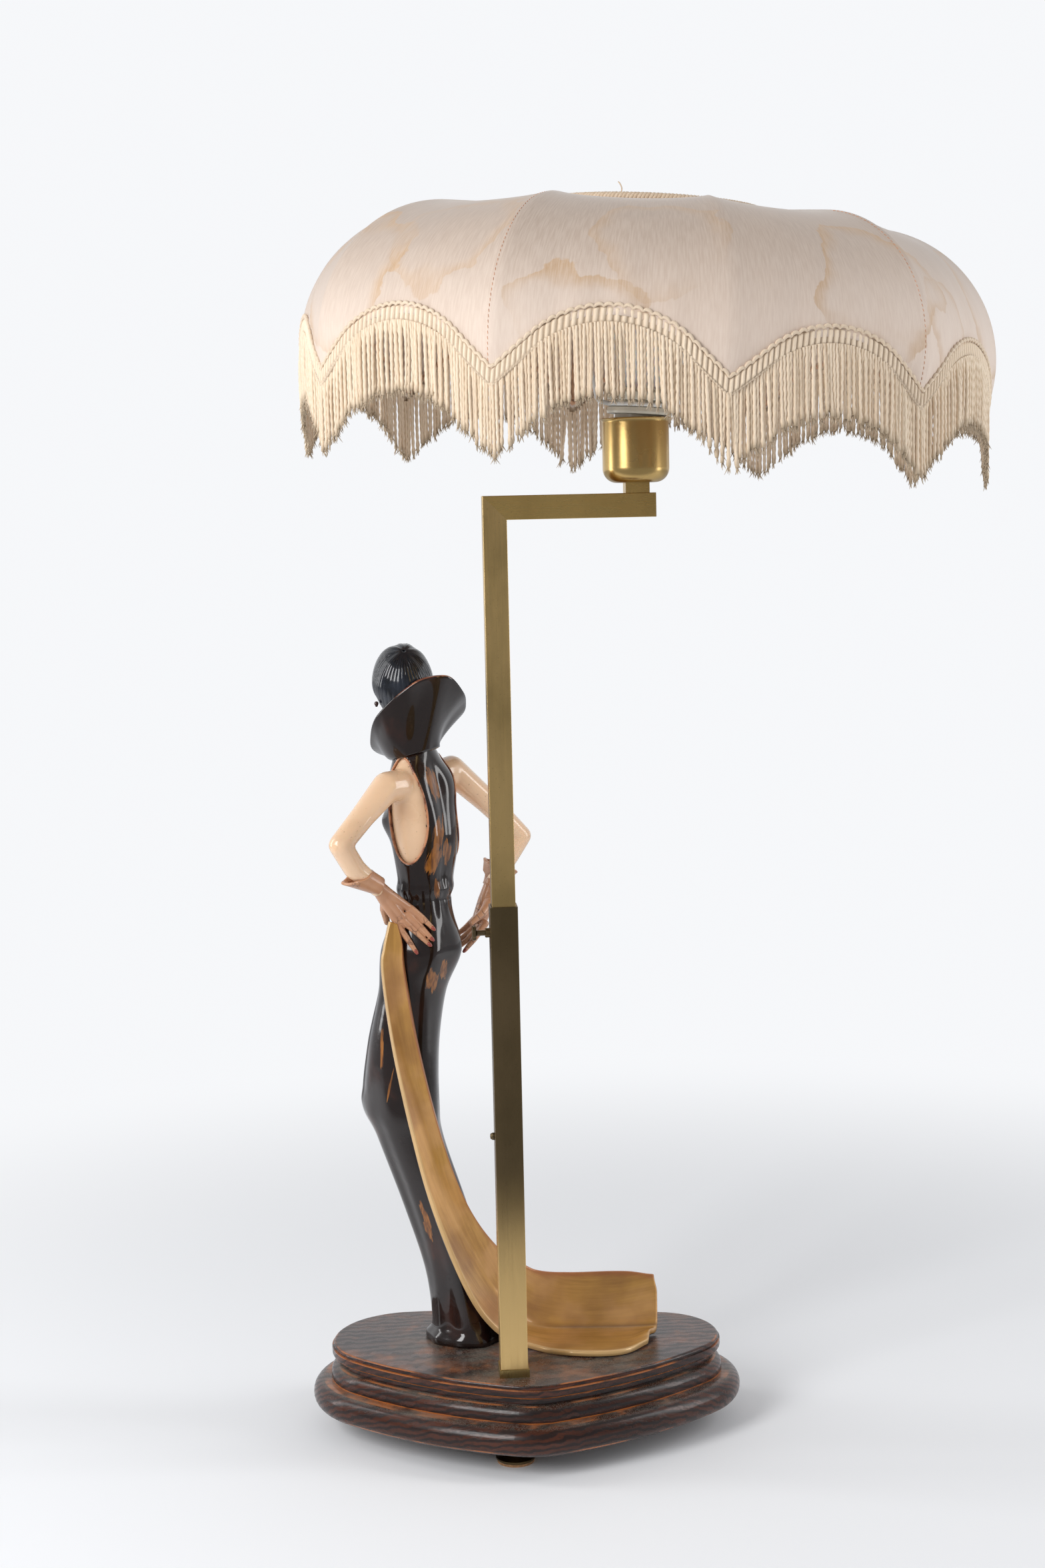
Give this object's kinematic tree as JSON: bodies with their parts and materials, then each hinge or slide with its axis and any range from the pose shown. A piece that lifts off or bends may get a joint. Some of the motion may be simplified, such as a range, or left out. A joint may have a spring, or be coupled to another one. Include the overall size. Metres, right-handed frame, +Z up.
{
  "type": "table lamp",
  "caption": "Figural table lamp: moulded oval wood base, standing figure in a gown with a train, telescoping square brass post with cranked arm, fringed ten-panel fabric shade.",
  "frame": {"origin": "on the table, under the middle of the lamp's outer box, which is the shade across and the whole lamp high", "axes": "+Z up; +X along the arm, away from the post; +Y towards the back of the base, with the post and its flange at the front (-Y)"},
  "size_m": [0.5032, 0.4809, 0.9109],
  "materials": {
    "wood_dark": "dark walnut stain, worn edges, satin",
    "hardboard": "plain brown hardboard",
    "pad_cork": "thin cork pad",
    "brass_bright": "brushed, lacquered, patchy",
    "brass_dark": "brushed, olive-brown patina",
    "brass_foot": "turned, aged",
    "brass_cup": "spun, satin lacquer",
    "brass_plain": "plain",
    "steel_screw": "plain zinc",
    "plastic_cream": "cream moulded plastic",
    "plastic_black": "black moulded plastic",
    "porcelain": "white glazed porcelain",
    "bulb_glass": "opal glass",
    "bulb_cap": "screw cap",
    "wire_white": "white painted wire",
    "wire_taped": "wire bound in peach tape",
    "shade_satin": "aged pink-beige satin with water stains",
    "braid_cotton": "ivory gimp braid",
    "fringe_cotton": "ivory bullion fringe",
    "flex_pvc": "gold-coloured flex",
    "figure_black": "near-black brown, high-gloss lacquer, brushed ochre marks",
    "figure_gold": "ochre-gold paint under lacquer",
    "figure_skin": "ivory skin, gloss lacquer",
    "figure_glove": "brown kid glove, gloss lacquer"
  },
  "bodies": {
    "base": {"base_top_board": "wood_dark", "base_cove_board": "wood_dark", "base_plinth_board": "wood_dark", "cable_bush": "plastic_black", "bottom_cover": "hardboard", "cover_screws": "steel_screw", "figure_screws": "steel_screw", "board_screws": "steel_screw", "foot_front": "brass_foot", "foot_rear_left": "brass_foot", "foot_rear_right": "brass_foot", "foot_pads": "pad_cork", "foot_studs": "steel_screw", "tie_rod": "steel_screw", "post_plug": "brass_plain", "post_flange": "brass_bright", "outer_tube": "brass_dark", "lock_boss": "brass_dark", "stop_screw": "brass_dark", "terminal_block": "plastic_cream", "flex_in_base": "flex_pvc", "flex_in_post": "flex_pvc", "figure_gown": "figure_black", "figure_train": "figure_gold", "figure_head": "figure_skin", "figure_left_arm": "figure_skin", "figure_right_arm": "figure_skin", "figure_left_glove": "figure_glove", "figure_right_glove": "figure_glove", "figure_earrings": "figure_black"},
    "stem": {"inner_tube": "brass_bright", "arm_tube": "brass_bright", "arm_end_cap": "brass_bright", "arm_stub": "brass_bright", "nipple": "brass_plain", "nipple_nuts": "brass_plain", "socket_cup": "brass_cup", "holder_cap": "plastic_cream", "holder_body": "plastic_cream", "holder_insert": "porcelain", "holder_contacts": "brass_plain", "thread_shell": "brass_plain", "shade_ring": "plastic_cream", "bulb_cap": "bulb_cap", "bulb_glass": "bulb_glass", "flex_in_arm": "flex_pvc"},
    "lock_screw": {"lock_screw": "brass_dark"},
    "shade": {"rib_wires": "wire_taped", "top_ring": "wire_taped", "spider_fitter": "wire_white", "rim_wire": "wire_taped", "shade_cover": "shade_satin", "gimp_braid": "braid_cotton", "fringe": "fringe_cotton", "top_braid": "braid_cotton"}
  },
  "joints": [
    {"name": "stem_slide", "type": "slide", "parent": "base", "child": "stem", "axis": [0, 0, 1], "range_m": [-0.085, 0.045], "deforming": ["flex_in_post"]},
    {"name": "lock_screw_turn", "type": "hinge", "parent": "base", "child": "lock_screw", "pos_m": [-0.097, -0.006, 0.3955], "axis": [-0.9978, -0.067, 0], "range_deg": [0, 720]},
    {"name": "shade_swivel", "type": "hinge", "parent": "stem", "child": "shade", "pos_m": [0.0082, -0.00003, 0.77705], "axis": [0.0682, -0.0134, 0.9976], "continuous": true}
  ]
}
